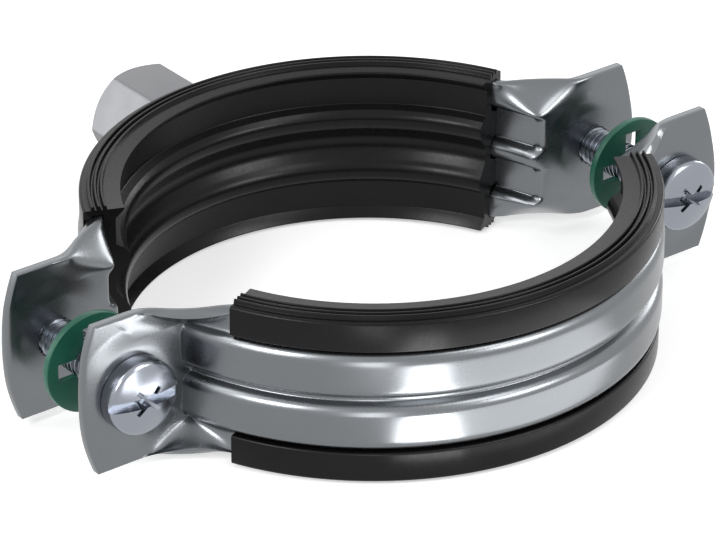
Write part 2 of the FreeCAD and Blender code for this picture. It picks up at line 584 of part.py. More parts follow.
def clamping_screw(doc, name, side, turn):
    body = doc.addObject("PartDesign::Body", name)
    crown = "(Dims.head_rim_height + Dims.head_crown_rise)"
    section = new_sketch(body, name + "_section", "XY_Plane")
    add_outline(section, [
        ("0", "-" + crown), ("Dims.head_crown_radius", "-" + crown),
        ("Dims.head_radius", "-Dims.head_rim_height"), ("Dims.head_radius", "0"), ("Dims.screw_radius", "0"),
        ("Dims.screw_radius", "Dims.screw_length - Dims.tip_chamfer"),
        ("Dims.screw_radius - Dims.tip_chamfer", "Dims.screw_length"), ("0", "Dims.screw_length")])
    revolve(body, name + "_turned", section)
    rounded = []
    for number_of_edge, edge in enumerate(body.Tip.Shape.Edges, start=1):
        if isinstance(edge.Curve, Part.Circle) and edge.Curve.Center.y < -0.1:
            rounded.append("Edge%d" % number_of_edge)
    fillet(body, name + "_head_rounding", rounded, "Dims.head_rounding")
    slot_half, cross_half, reach = "Dims.slot_width / 2", "Dims.cross_width / 2", "Dims.cross_reach"
    wide = "Dims.head_radius + 1"
    cuts = [("slot", wide, slot_half, "Dims.slot_depth", "0 deg"),
            ("wing", reach, cross_half, "Dims.cross_depth", "Dims.cross_turn * 1 deg"),
            ("second_wing", reach, cross_half, "Dims.cross_depth", "(Dims.cross_turn + 90) * 1 deg")]
    for label, along, half, depth, angle in cuts:
        recess = new_sketch(body, "%s_%s_outline" % (name, label), "XZ_Plane", crown)
        recess.setExpression("AttachmentOffset.Rotation.Angle", angle)
        doc.recompute()
        add_outline(recess, [("-(%s)" % along, "-" + half), (along, "-" + half),
                             (along, half), ("-(%s)" % along, half)])
        extrude(body, "%s_%s" % (name, label), recess, depth, cut=True)
    body.Placement = FreeCAD.Placement(FreeCAD.Vector(), FreeCAD.Rotation(FreeCAD.Vector(0, 1, 0), 1))
    body.setExpression("Placement.Rotation.Angle", "Dims.%s * 1 deg" % turn)
    body.setExpression("Placement.Base.x", "%d * %s" % (side, SCREW_OFFSET))
    body.setExpression("Placement.Base.y", "-(%s + Dims.dish_height + Dims.head_seat_clearance)" % EAR_OUTER)
    doc.recompute()
    return body


# Retainer washer: thin plastic disc with a cross-shaped opening that grips the thread

def retainer_washer(doc, name, side):
    body = doc.addObject("PartDesign::Body", name)
    disc = new_sketch(body, name + "_disc_outline", "XZ_Plane", "Dims.washer_thickness / 2")
    add_circle(disc, "Dims.washer_radius")
    extrude(body, name + "_disc", disc, "Dims.washer_thickness", reverse=True)
    hole = new_sketch(body, name + "_hole_outline", "XZ_Plane", "Dims.washer_thickness")
    add_circle(hole, "Dims.screw_radius + Dims.washer_hole_clearance")
    extrude(body, name + "_hole", hole, "Dims.washer_thickness * 2", cut=True)
    reach, half = "Dims.washer_slot_reach", "Dims.washer_slot_width / 2"
    for label, across, up in (("slot", reach, half), ("cross_slot", half, reach)):
        opening = new_sketch(body, "%s_%s_outline" % (name, label), "XZ_Plane", "Dims.washer_thickness")
        add_outline(opening, [("-" + across, "-" + up), (across, "-" + up), (across, up), ("-" + across, up)])
        extrude(body, "%s_%s" % (name, label), opening, "Dims.washer_thickness * 2", cut=True)
    body.setExpression("Placement.Base.x", "%d * %s" % (side, SCREW_OFFSET))
    body.setExpression("Placement.Base.y", "Dims.washer_position")
    doc.recompute()
    return body


def turn_to_front(body):
    body.Placement = FreeCAD.Placement(FreeCAD.Vector(), FreeCAD.Rotation(FreeCAD.Vector(0, 0, 1), 180))
    body.Document.recompute()
    return body


doc = FreeCAD.newDocument("PipeClamp")
make_sheet(doc)
pieces = [
    band_half(doc, "rear_band", True, "thread_hole_clearance"),
    turn_to_front(band_half(doc, "front_band", False, "front_hole_clearance")),
    lining_half(doc, "rear_lining", "rear_lining_end"),
    turn_to_front(lining_half(doc, "front_lining", "front_lining_end")),
    connection_nut(doc, "connection_nut"),
    clamping_screw(doc, "screw_left", -1, "slot_turn_left"),
    clamping_screw(doc, "screw_right", 1, "slot_turn_right"),
    retainer_washer(doc, "retainer_washer_left", -1),
    retainer_washer(doc, "retainer_washer_right", 1),
]
doc.recompute()

for obj in doc.Objects:
    if "Invalid" in obj.State or "Error" in obj.State:
        raise RuntimeError("%s did not build" % obj.Name)

os.makedirs("parts", exist_ok=True)
for piece in pieces:
    if piece.Shape.isNull() or not piece.Shape.isValid() or len(piece.Shape.Solids) != 1:
        raise RuntimeError("%s is not one sound solid" % piece.Label)
    piece.Shape.exportStep("parts/%s.step" % piece.Label)
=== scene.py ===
"""Looks of a rubber lined two-screw pipe clamp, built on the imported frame."""
import math

import bmesh
import bpy
import numpy as np
from bpy.props import FloatProperty, FloatVectorProperty, IntProperty, PointerProperty
from mathutils import Matrix, Vector


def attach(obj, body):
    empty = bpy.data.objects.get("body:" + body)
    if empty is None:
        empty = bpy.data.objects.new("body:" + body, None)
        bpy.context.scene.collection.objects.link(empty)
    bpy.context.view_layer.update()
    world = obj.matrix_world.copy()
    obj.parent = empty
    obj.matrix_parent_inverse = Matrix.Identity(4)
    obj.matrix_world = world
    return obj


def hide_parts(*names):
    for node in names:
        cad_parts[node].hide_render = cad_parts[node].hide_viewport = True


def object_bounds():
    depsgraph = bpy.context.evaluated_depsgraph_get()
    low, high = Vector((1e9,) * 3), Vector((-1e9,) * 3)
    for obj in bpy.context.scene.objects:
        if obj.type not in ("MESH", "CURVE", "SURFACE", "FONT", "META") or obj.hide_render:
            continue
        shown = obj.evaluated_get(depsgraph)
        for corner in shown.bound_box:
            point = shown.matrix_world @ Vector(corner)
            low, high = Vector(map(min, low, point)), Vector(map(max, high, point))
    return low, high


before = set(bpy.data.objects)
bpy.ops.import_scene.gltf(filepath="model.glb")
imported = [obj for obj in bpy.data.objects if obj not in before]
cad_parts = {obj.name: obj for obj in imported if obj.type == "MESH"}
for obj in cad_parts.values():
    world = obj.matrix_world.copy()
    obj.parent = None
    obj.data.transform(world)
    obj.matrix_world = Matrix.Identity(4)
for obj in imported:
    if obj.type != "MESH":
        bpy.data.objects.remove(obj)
CAD_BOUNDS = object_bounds()

bl_info = {
    "name": "Pipe Clamp Looks",
    "version": (1, 0, 0),
    "blender": (4, 5, 0),
    "location": "3D View > Sidebar > Pipe Clamp",
    "description": "Pressed band, rubber lining, screws and studio for a lined pipe clamp",
    "category": "Add Mesh",
}


def length(name, description, default):
    return FloatProperty(name=name, description=description, default=default, unit="LENGTH",
                         subtype="DISTANCE", precision=5)


def colour(name, description, default):
    return FloatVectorProperty(name=name, description=description, default=default,
                               subtype="COLOR", size=3, min=0.0, max=1.0)


class ClampBandSizes(bpy.types.PropertyGroup):
    """Sizes of the pressed band halves."""
    inner_radius: length("Inner radius", "Inner face of the strip", 0.0339)
    sheet: length("Sheet", "Thickness of the strip", 0.0013)
    half_width: length("Half width", "Half the width of the strip", 0.010)
    rib_height: length("Rib height", "How far the ribs stand out", 0.00145)
    rib_near: length("Rib near edge", "Outer rib edge next to the middle groove", 0.00095)
    rib_far: length("Rib far edge", "Outer rib edge next to the margin", 0.0061)
    half_gap: length("Half gap", "Ear gap face from the centre plane", 0.0075)
    ear_corner: length("Ear corner", "Ear corner from the pipe axis", 0.0478)
    ear_tip: length("Ear tip", "Tip of the rounded ear edge", 0.0498)
    screw_offset: length("Screw offset", "Screw axis from the pipe axis", 0.0428)
    dish_height: length("Dish height", "Raised cone around each hole", 0.0005)
    dish_foot: length("Dish foot", "Foot radius of the raised cone", 0.0084)
    dish_top: length("Dish top", "Flat top radius of the raised cone", 0.0054)
    edge: length("Edge rounding", "Sheared edge of the strip", 0.00014)


class ClampLiningSizes(bpy.types.PropertyGroup):
    """Sizes of the rubber lining."""
    wall_radius: length("Wall radius", "Inner wall beside the beads", 0.03235)
    bead_radius: length("Bead radius", "Pipe land of the beads", 0.03065)
    lip_radius: length("Lip radius", "Inner corner of the side lips", 0.0310)
    side_face: length("Side face", "Flat side face from the middle", 0.0108)
    hem_radius: length("Hem radius", "Hem around the strip edge", 0.0364)
    hem_end: length("Hem end", "Edge of the hem on the band", 0.00685)
    fin_height: length("Fin height", "Fins of the side face", 0.0005)
    first_fin: length("First fin", "Radius of the innermost fin", 0.0336)
    fin_pitch: length("Fin pitch", "Distance between fins", 0.00078)
    fins: IntProperty(name="Fins", description="Fins on each side face", default=3, min=1, max=5)


class ClampHardwareSizes(bpy.types.PropertyGroup):
    """Sizes of the screws, washers and nut."""
    screw_radius: length("Screw radius", "Over the thread", 0.0025)
    screw_pitch: length("Screw pitch", "Thread pitch", 0.0008)
    screw_length: length("Screw length", "Seat to tip", 0.025)
    head_radius: length("Head radius", "Pan head", 0.00485)
    head_height: length("Head height", "Seat to crown", 0.0032)
    washer_radius: length("Washer radius", "Retainer washer", 0.00656)
    washer_thickness: length("Washer thickness", "Retainer washer", 0.00095)
    nut_flats: length("Nut flats", "Across the flats", 0.013)
    nut_top: length("Nut top", "Outer end from the pipe axis", 0.052)


class ClampColours(bpy.types.PropertyGroup):
    """Colours of the materials."""
    zinc: colour("Zinc steel", "Pressed band halves", (0.19, 0.20, 0.21))
    nut: colour("Nut steel", "Connection nut", (0.17, 0.172, 0.18))
    screw: colour("Screw steel", "Clamping screws", (0.30, 0.32, 0.36))
    rubber: colour("Rubber", "Lining", (0.004, 0.004, 0.0042))
    green: colour("Green plastic", "Retainer washers", (0.004, 0.082, 0.049))
    ground: colour("Floor", "Floor and backdrop", (0.92, 0.92, 0.92))


# Mesh helpers; shapes are worked out in millimetres and stored in metres

def mm(value):
    return value * 1000.0


def plain_object(name, points, faces, turn=None):
    """Object from points in millimetres, turned where a matrix is given."""
    points = np.asarray(points, float)
    if turn is not None:
        points = points @ np.array(turn.to_3x3()).T
    mesh = bpy.data.meshes.new(name)
    mesh.from_pydata((points * 0.001).tolist(), [], faces)
    mesh.validate()
    mesh.update()
    obj = bpy.data.objects.new(name, mesh)
    bpy.context.scene.collection.objects.link(obj)
    finish_mesh(mesh)
    return obj


def register_piece(obj, body, replaced):
    """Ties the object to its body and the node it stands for."""
    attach(obj, body)
    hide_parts(replaced)


def finish_mesh(mesh, angle=40.0):
    """Outward normals, smooth faces and sharp edges past an angle."""
    work = bmesh.new()
    work.from_mesh(mesh)
    bmesh.ops.remove_doubles(work, verts=work.verts, dist=1e-7)
    bmesh.ops.recalc_face_normals(work, faces=work.faces)
    for face in work.faces:
        face.smooth = True
    limit = math.radians(angle)
    for edge in work.edges:
        if len(edge.link_faces) == 2 and edge.calc_face_angle(0.0) > limit:
            edge.smooth = False
    work.to_mesh(mesh)
    work.free()


def grid_faces(rows, cols, start=0, wrap_cols=False):
    """Quads of a grid of points that are numbered row by row from start."""
    faces = []
    for i in range(rows - 1):
        low, high = start + i * cols, start + (i + 1) * cols
        for j in range(cols if wrap_cols else cols - 1):
            k = (j + 1) % cols
            faces.append((low + j, low + k, high + k, high + j))
    return faces


def rounded_line(corners, closed=False):
    """Polyline with rounded corners from (x, y, radius, steps) entries."""
    spots = []
    count = len(corners)
    for i, (x, y, radius, steps) in enumerate(corners):
        if radius <= 0 or (not closed and i in (0, count - 1)):
            spots.append((x, y))
            continue
        here = np.array((x, y))
        before = np.array(corners[i - 1][:2]) - here
        after = np.array(corners[(i + 1) % count][:2]) - here
        before /= np.linalg.norm(before)
        after /= np.linalg.norm(after)
        half = 0.5 * math.acos(max(-1.0, min(1.0, float(before @ after))))
        reach = radius / math.tan(half)
        middle = before + after
        centre = here + middle / np.linalg.norm(middle) * radius / math.sin(half)
        start, end = here + before * reach - centre, here + after * reach - centre
        turn = math.atan2(start[0] * end[1] - start[1] * end[0], float(start @ end))
        for k in range(steps + 1):
            a = turn * k / steps
            c, s = math.cos(a), math.sin(a)
            spots.append((centre[0] + c * start[0] - s * start[1],
                          centre[1] + s * start[0] + c * start[1]))
    return np.array(spots)


def smooth_step(x):
    x = np.clip(x, 0.0, 1.0)
    return x * x * (3 - 2 * x)


def blurred(line, sigma):
    """Line of even points smoothed by a bell curve cut at 3.2 sigma, with its ends held."""
    reach = int(3.2 * sigma)
    kernel = np.exp(-0.5 * (np.arange(-reach, reach + 1) / sigma) ** 2)
    kernel /= kernel.sum()
    padded = np.pad(line, ((reach, reach), (0, 0)), mode="edge")
    return np.stack([np.convolve(padded[:, k], kernel, mode="valid") for k in range(3)], 1)


# Band halves

class BandShape:
    """Both faces of one pressed half as functions of the height on the strip, in millimetres."""

    EAR_COLUMNS, FOLD_COLUMNS, ARC_COLUMNS = 28, 40, 40
    EAR_SAMPLES, FACET_SAMPLES, ARC_SAMPLES = 120, 25, 400
    SAMPLE_STEP = 0.05
    FOLD_REACH = 2.4                        # path beside the fold that gets the close columns
    FLANK = math.radians(65.0)
    SMALL_ROUND = 0.25
    POCKET_MOUTH = 1.2                      # rounding where a rib pocket opens
    POCKET_NEAR, POCKET_FAR = -0.2, 0.5     # shifts of the pocket edges
    BEFORE_MIDDLE, PAST_EDGE = -0.2, 11.0   # ends of the rib lines

    # Extra rows at the gussets, distances between rows, and the last rows in edge roundings
    GUSSET_ROWS = (7.1, 9.9, 0.22)
    FIRST_ROW, LEAST_ROW, MOST_ROW, FILL_ROW = 0.02, 0.035, 0.62, 0.55
    LAST_MARK, LAST_ROW = 2.5, 2.2

    # Softness of the fold over the height on the strip, and how far it acts beside the fold
    SOFT_OUTER = ((6.9, 8.2), (0.03, 0.8))
    SOFT_INNER = ((1.0, 1.8, 5.6, 6.5, 8.2), (0.7, 0.22, 0.22, 0.7, 1.0))
    SOFT_HOLD, SOFT_SHARE, SOFT_FADE = 0.4, 2.4, 0.5

    DISH_HOLD, DISH_FADE = 0.9, 2.0         # how far off the ear the cone round the hole acts

    # Gusset facets: height of the point, foot on the ear, foot on the band in degrees, bow
    OUTER_GUSSET = (7.25, 41.4, 26.5, (0.0, 0.0, -1.1))
    INNER_GUSSET = (7.75, 41.0, 24.0, (0.48, 0.82, 0.0))

    # Rounds that even out the gusset creases, and the last ones also the pocket ends
    CREASE_ROUNDS, POCKET_ROUNDS = 300, 20
    CREASE_WEIGHT, POCKET_WEIGHT = 0.7, 0.6
    CREASE_FROM, CREASE_FULL, RIM_FADE, POCKET_TO = 6.6, 0.6, 1.2, 7.4
    BEFORE_FOLD, PAST_FOLD, POCKET_REACH, POCKET_FADE = 14, 6, 16, 8    # in columns

    def __init__(self, sizes, raised):
        self.raised = raised
        self.t = mm(sizes.sheet)
        self.ri, self.ro = mm(sizes.inner_radius), mm(sizes.inner_radius + sizes.sheet)
        self.gap = mm(sizes.half_gap)
        self.width = mm(sizes.half_width)
        self.tip, self.corner = mm(sizes.ear_tip), mm(sizes.ear_corner)
        self.screw = mm(sizes.screw_offset)
        self.dish = (mm(sizes.dish_height), mm(sizes.dish_foot), mm(sizes.dish_top))
        self.edge = mm(sizes.edge)
        height, near, far = mm(sizes.rib_height), mm(sizes.rib_near), mm(sizes.rib_far)
        shift = self.t * math.tan(self.FLANK / 2)
        small = (self.SMALL_ROUND, 3)
        big = (self.t + self.SMALL_ROUND, 6)
        mouth = (self.POCKET_MOUTH, 6)
        self.outer_line = self.rib_line(self.ro, height, near, far, small, big)
        self.inner_line = self.rib_line(self.ri, height, near + shift + self.POCKET_NEAR,
                                        far - shift + self.POCKET_FAR, mouth, small)
        self.outer_spots = self.fold_spots(self.ro, self.gap + self.t, *self.OUTER_GUSSET)
        self.inner_spots = self.fold_spots(self.ri, self.gap, *self.INNER_GUSSET)

    def rib_line(self, radius, height, near, far, foot, crest):
        """Radius over the height on the strip; foot and crest hold a rounding and its steps."""
        run = height / math.tan(self.FLANK)
        return rounded_line([
            (self.BEFORE_MIDDLE, radius, 0, 0), (near - run, radius, *foot),
            (near, radius + height, *crest), (far, radius + height, *crest),
            (far + run, radius, *foot), (self.PAST_EDGE, radius, 0, 0)])

    def fold_spots(self, radius, level, point, ear_foot, band_foot, bow):
        """Point, both feet and bow of a gusset facet as places."""
        angle = math.radians(band_foot)
        return (np.array((math.sqrt(radius ** 2 - level ** 2), level, point)),
                np.array((ear_foot, level, self.width)),
                np.array((radius * math.cos(angle), radius * math.sin(angle), self.width)),
                np.array(bow))

    def rows(self):
        """Heights of the grid rows: every corner of both rib lines and an even filling."""
        marks = np.concatenate([self.outer_line[:, 0], self.inner_line[:, 0],
                                np.arange(*self.GUSSET_ROWS)])
        last = self.width - self.LAST_MARK * self.edge
        marks = np.sort(marks[(marks > self.FIRST_ROW) & (marks < last)])
        kept = [0.0]
        for value in marks:
            if value - kept[-1] > self.LEAST_ROW:
                while value - kept[-1] > self.MOST_ROW:
                    kept.append(kept[-1] + self.FILL_ROW)
                kept.append(float(value))
        kept += [self.width - self.LAST_ROW * self.edge, self.width - self.edge]
        return np.array([-v for v in reversed(kept[1:])] + kept)

    def tip_x(self, v):
        """Reach of the rounded ear edge at one height."""
        bulge = self.tip - self.corner
        radius = (self.width ** 2 + bulge ** 2) / (2 * bulge)
        return self.tip - radius + math.sqrt(radius ** 2 - v ** 2)

    def path(self, v, outer, inset):
        """Points from the ear tip to the middle of the arc, and where the fold begins and ends."""
        height = abs(v)
        line = self.outer_line if outer else self.inner_line
        radius = float(np.interp(height, line[:, 0], line[:, 1]))
        ear_y = self.gap + (self.t if outer else 0.0)
        apex, ear, band, bow = self.outer_spots if outer else self.inner_spots
        tip = np.array((self.tip_x(height) - inset, ear_y, height))
        share = (height - apex[2]) / (self.width - apex[2])
        if share > 0:
            end = apex + share * (band - apex)
            angle_end = math.atan2(end[1], end[0])
            on_band = np.array((radius * math.cos(angle_end), radius * math.sin(angle_end),
                                height))
            chord = []
            for u in np.linspace(0, 1, self.FACET_SAMPLES):
                rim = ear + u * (band - ear) + 4 * u * (1 - u) * bow
                chord.append(apex + share * (rim - apex) + u * (on_band - end))
        else:
            fold_x = math.sqrt(radius ** 2 - ear_y ** 2)
            angle_end = math.atan2(ear_y, fold_x)
            chord = [np.array((fold_x, ear_y, height))]
        angles = np.linspace(angle_end, math.pi / 2, self.ARC_SAMPLES)
        arc = np.stack([radius * np.cos(angles), radius * np.sin(angles),
                        np.full(self.ARC_SAMPLES, height)], 1)
        ear_part = tip + np.linspace(0, 1, self.EAR_SAMPLES)[:, None] * (chord[0] - tip)
        whole = np.concatenate([ear_part[:-1], np.array(chord), arc[1:]])
        steps = np.linalg.norm(np.diff(whole, axis=0), axis=1)
        run = np.concatenate([[0], np.cumsum(steps)])
        ear_run = float(run[len(ear_part) - 1])
        band_run = float(run[len(ear_part) - 2 + len(chord)])
        return whole, run, ear_run, band_run

    def sample(self, v, outer, inset):
        """One grid row: the path with its fold softened, at the places of the columns."""
        whole, run, ear_run, band_run = self.path(v, outer, inset)
        fine = np.arange(0, run[-1], self.SAMPLE_STEP)
        dense = np.stack([np.interp(fine, run, whole[:, k]) for k in range(3)], 1)
        softness = float(np.interp(abs(v), *(self.SOFT_OUTER if outer else self.SOFT_INNER)))
        away = np.minimum(np.abs(fine - ear_run), np.abs(fine - band_run))
        inside = (fine > ear_run) & (fine < band_run)
        beyond = (away - self.SOFT_HOLD - self.SOFT_SHARE * softness) / self.SOFT_FADE
        weight = np.where(inside, 1.0, 1 - smooth_step(beyond))
        soft = blurred(dense, softness / self.SAMPLE_STEP)
        dense = dense + (soft - dense) * weight[:, None]
        ear_end, fold_end = ear_run - self.FOLD_REACH, band_run + self.FOLD_REACH
        spots = np.concatenate([
            np.linspace(0, ear_end, self.EAR_COLUMNS, endpoint=False),
            np.linspace(ear_end, fold_end, self.FOLD_COLUMNS, endpoint=False),
            np.linspace(fold_end, run[-1], self.ARC_COLUMNS + 1)])
        if ear_run == band_run:
            spots[np.argmin(np.abs(spots - ear_run))] = ear_run    # one column lies on the crease
        out = np.stack([np.interp(spots, fine, dense[:, k]) for k in range(3)], 1)
        out[0] = whole[0]
        out[-1] = whole[-1]
        return self.add_dish(out)

    def add_dish(self, points):
        """Raises or sinks the cone round the hole, on the ear only."""
        depth, foot, top = self.dish
        away = np.hypot(points[:, 0] - self.screw, points[:, 2])
        shape = np.clip((foot - away) / (foot - top), 0, 1)
        shape = 0.5 * shape + 0.5 * smooth_step(shape)
        off_ear = np.abs(points[:, 1] - self.gap - self.t / 2)
        near = 1 - smooth_step((off_ear - self.DISH_HOLD) / self.DISH_FADE)
        points[:, 1] += self.raised * depth * shape * near
        return points

    def surface(self, heights, outer, inset):
        """Grid of one face, with the left side as a mirror image of the right."""
        grid = []
        for v in heights:
            right = self.sample(v, outer, inset)
            right[:, 2] *= -1 if v < 0 else 1
            left = right[:-1][::-1] * np.array((-1, 1, 1))
            grid.append(np.concatenate([right, left]))
        return np.array(grid)

    def soften(self, grid, heights, outer):
        """Evens the gusset creases and the pocket ends out; the two rows next to each edge stay."""
        height = np.abs(heights)
        column = np.arange(grid.shape[1])
        column = np.minimum(column, column[::-1])
        last = self.EAR_COLUMNS + self.FOLD_COLUMNS
        zone = (column > self.EAR_COLUMNS - self.BEFORE_FOLD) & (column < last + self.PAST_FOLD)
        rise = smooth_step((height - self.CREASE_FROM) / self.CREASE_FULL)[:, None]
        weight = self.CREASE_WEIGHT * rise * zone[None, :]
        weight = weight * smooth_step((self.width - height) / self.RIM_FADE)[:, None] ** 2
        weight[:2] = 0
        weight[-2:] = 0
        from_fold = np.abs(column - self.EAR_COLUMNS - self.FOLD_COLUMNS / 2)
        near_fold = (self.POCKET_REACH - from_fold) / self.POCKET_FADE
        fold = self.POCKET_WEIGHT * smooth_step(near_fold)
        for step in range(self.CREASE_ROUNDS + self.POCKET_ROUNDS):
            if step == self.CREASE_ROUNDS and not outer:
                weight = np.maximum(weight, fold[None, :] * (height < self.POCKET_TO)[:, None])
            around = grid[:-2, 1:-1] + grid[2:, 1:-1] + grid[1:-1, :-2] + grid[1:-1, 2:]
            grid[1:-1, 1:-1] += weight[1:-1, 1:-1, None] * (around / 4 - grid[1:-1, 1:-1])
        return grid

    def mesh(self):
        """Points and faces of the closed sheet: both faces and the rounded cut edge between."""
        heights, edge = self.rows(), self.edge
        both, sides = (True, False), (-self.width, self.width)
        grids = [self.soften(self.surface(heights, outer, edge), heights, outer)
                 for outer in both]
        rims = [self.surface(sides, outer, edge) for outer in both]
        tips = [self.surface(heights, outer, 0.0) for outer in both]
        ends = [self.surface(sides, outer, 0.0) for outer in both]
        rows, cols = grids[0].shape[:2]
        ring = [(rows - 1, j) for j in range(cols)]
        ring += [(i, cols - 1) for i in range(rows - 2, 0, -1)]
        ring += [(0, j) for j in range(cols - 1, -1, -1)]
        ring += [(i, 0) for i in range(1, rows - 1)]

        def true_edge(face, i, j):
            side = 1 if i == rows - 1 else 0
            if i in (0, rows - 1) and j in (0, cols - 1):
                return ends[face][side, j]
            if i in (0, rows - 1):
                return rims[face][side, j]
            return tips[face][i, j]

        inset_outer = np.array([grids[0][i, j] for i, j in ring])
        inset_inner = np.array([grids[1][i, j] for i, j in ring])
        true_outer = np.array([true_edge(0, i, j) for i, j in ring])
        true_inner = np.array([true_edge(1, i, j) for i, j in ring])
        across = true_inner - true_outer
        across /= np.linalg.norm(across, axis=1)[:, None]
        k = 1 - math.cos(math.pi / 4)
        layers = [
            true_outer + (inset_outer - true_outer) * k + across * edge * k,
            true_outer + across * edge,
            (true_outer + true_inner) / 2,
            true_inner - across * edge,
            true_inner + (inset_inner - true_inner) * k - across * edge * k,
        ]
        points = [grids[0].reshape(-1, 3), grids[1].reshape(-1, 3)] + layers
        faces = grid_faces(rows, cols) + grid_faces(rows, cols, rows * cols)
        size, n = 2 * rows * cols, len(ring)
        outer_ids = [i * cols + j for i, j in ring]
        inner_ids = [rows * cols + i * cols + j for i, j in ring]
        layer_ids = [[size + layer * n + m for m in range(n)] for layer in range(len(layers))]
        chains = [outer_ids] + layer_ids + [inner_ids]
        for first, second in zip(chains, chains[1:]):
            for m in range(n):
                o = (m + 1) % n
                faces.append((first[m], first[o], second[o], second[m]))
        return np.concatenate(points), faces


def cut_with(obj, cutters):
    """Cuts the cutters out of obj for good and removes them."""
    for cutter in cutters:
        modifier = obj.modifiers.new("cut", "BOOLEAN")
        modifier.operation = "DIFFERENCE"
        modifier.solver = "EXACT"
        modifier.object = cutter
    bpy.context.view_layer.update()
    graph = bpy.context.evaluated_depsgraph_get()
    cut = bpy.data.meshes.new_from_object(obj.evaluated_get(graph))
    obj.modifiers.clear()
    old = obj.data
    obj.data = cut
    bpy.data.meshes.remove(old)
    for cutter in cutters:
        mesh = cutter.data
        bpy.data.objects.remove(cutter)
        bpy.data.meshes.remove(mesh)


def cylinder(name, centre, axis, radius, reach, sides=64):
    """Closed cylinder of half length reach."""
    turn = Vector(axis).to_track_quat("Z", "Y").to_matrix()
    points, faces = [], []
    for end in (-reach, reach):
        for k in range(sides):
            a = 2 * math.pi * k / sides
            spoke = Vector((radius * math.cos(a), radius * math.sin(a), end))
            points.append(Vector(centre) + turn @ spoke)
    for k in range(sides):
        m = (k + 1) % sides
        faces.append((k, m, sides + m, sides + k))
    faces += [tuple(range(sides))[::-1], tuple(range(sides, 2 * sides))]
    return plain_object(name, points, faces)


# Shapes turned about an axis

def revolve_section(section, angles):
    """Closed section (radius, height) swept round Z, with flat end caps."""
    section = np.asarray(section)
    n = len(section)
    points = []
    for a in angles:
        points += [(r * math.cos(a), r * math.sin(a), z) for r, z in section]
    faces = grid_faces(len(angles), n, wrap_cols=True)
    faces.append(tuple(range(n))[::-1])
    faces.append(tuple(range((len(angles) - 1) * n, len(angles) * n)))
    return points, faces


def lathe(rows, radius_at, sides):
    """Closed shape round the Y axis: radius_at(angle, row) gives the radius and y of each row."""
    points = []
    angles = [2 * math.pi * k / sides for k in range(sides)]
    for row in range(rows):
        for a in angles:
            r, y = radius_at(a, row)
            points.append((r * math.sin(a), y, r * math.cos(a)))
    faces = grid_faces(rows, sides, wrap_cols=True)
    faces.append(tuple(range(sides)))
    faces.append(tuple(range((rows - 1) * sides, rows * sides))[::-1])
    return points, faces


def thread_radius(angle, y, pitch, crest, root):
    """Right-hand thread along +Y with flattened crests and roots."""
    top, slope = 1.28, 3.1
    phase = (y / pitch - angle / (2 * math.pi)) % 1.0
    rise = min(1.0, max(0.0, top - abs(phase - 0.5) * slope))
    return root + (crest - root) * rise


def lining_section(sizes, band):
    """Closed outline of the lining: bead, lip, fins, hem and pad, mirrored at the middle."""
    wall, bead, lip = mm(sizes.wall_radius), mm(sizes.bead_radius), mm(sizes.lip_radius)
    side, hem, hem_end = mm(sizes.side_face), mm(sizes.hem_radius), mm(sizes.hem_end)
    ri, t, height = mm(band.inner_radius), mm(band.sheet), mm(band.rib_height)
    fin, first, pitch = mm(sizes.fin_height), mm(sizes.first_fin), mm(sizes.fin_pitch)
    play, strip_edge = 0.05, 10.05
    strip, over_strip, pad = ri - play, ri + t + play, ri + height - play
    half = [
        (32.5, 0.0, 0, 0), (32.42, 0.75, 2.4, 6), (31.5, 2.15, 3.0, 5), (30.66, 3.0, 2.0, 8),
        (bead, 4.45, 1.3, 8), (31.35, 5.25, 0.35, 3), (wall, 5.75, 0.18, 3),
        (wall, side - (wall - lip) - 0.05, 0.25, 3), (lip, side, 0.14, 3),
    ]
    for k in range(sizes.fins):
        r = first + k * pitch
        half += [(r - 0.26, side - 0.05, 0.06, 2), (r - 0.13, side + fin, 0.1, 3),
                 (r + 0.13, side + fin, 0.1, 3), (r + 0.26, side - 0.05, 0.06, 2)]
    half += [
        (hem, side, 0.38, 5), (hem, hem_end, 0.3, 4), (over_strip, hem_end, 0.08, 2),
        (over_strip, strip_edge, 0, 0), (strip, strip_edge, 0, 0), (strip, 5.88, 0.3, 2),
        (pad, 5.2, 0.2, 2), (pad, 1.85, 0.2, 2), (strip, 1.17, 0.3, 2), (strip, 0.0, 0, 0),
    ]
    upper = rounded_line(half)
    lower = upper[1:-1][::-1] * np.array((1, -1))
    return np.concatenate([upper, lower])


# Materials

NOISE_SPAN = (0.3, 0.7)                     # nearly all of a noise pattern lies in it


def new_material(name):
    """Material with its node tree, its shader and the place on the object."""
    material = bpy.data.materials.new(name)
    material.use_nodes = True
    tree = material.node_tree
    place = tree.nodes.new("ShaderNodeTexCoord")
    return material, tree, tree.nodes["Principled BSDF"], place.outputs["Object"]


def noise(tree, vector, scale, detail=3.0):
    node = tree.nodes.new("ShaderNodeTexNoise")
    node.inputs["Scale"].default_value = scale
    node.inputs["Detail"].default_value = detail
    node.inputs["Roughness"].default_value = 0.55
    tree.links.new(vector, node.inputs["Vector"])
    return node.outputs["Fac"]


def span(tree, value, low, high):
    """Value between low and high from a noise pattern."""
    node = tree.nodes.new("ShaderNodeMapRange")
    node.inputs["From Min"].default_value, node.inputs["From Max"].default_value = NOISE_SPAN
    node.inputs["To Min"].default_value = low
    node.inputs["To Max"].default_value = high
    tree.links.new(value, node.inputs["Value"])
    return node.outputs["Result"]


def tint(tree, value, dark, light):
    """Colour between dark and light from a noise pattern."""
    node = tree.nodes.new("ShaderNodeValToRGB")
    for element, position, colour_at in zip(node.color_ramp.elements, NOISE_SPAN, (dark, light)):
        element.position = position
        element.color = (*colour_at, 1)
    tree.links.new(value, node.inputs["Fac"])
    return node.outputs["Color"]


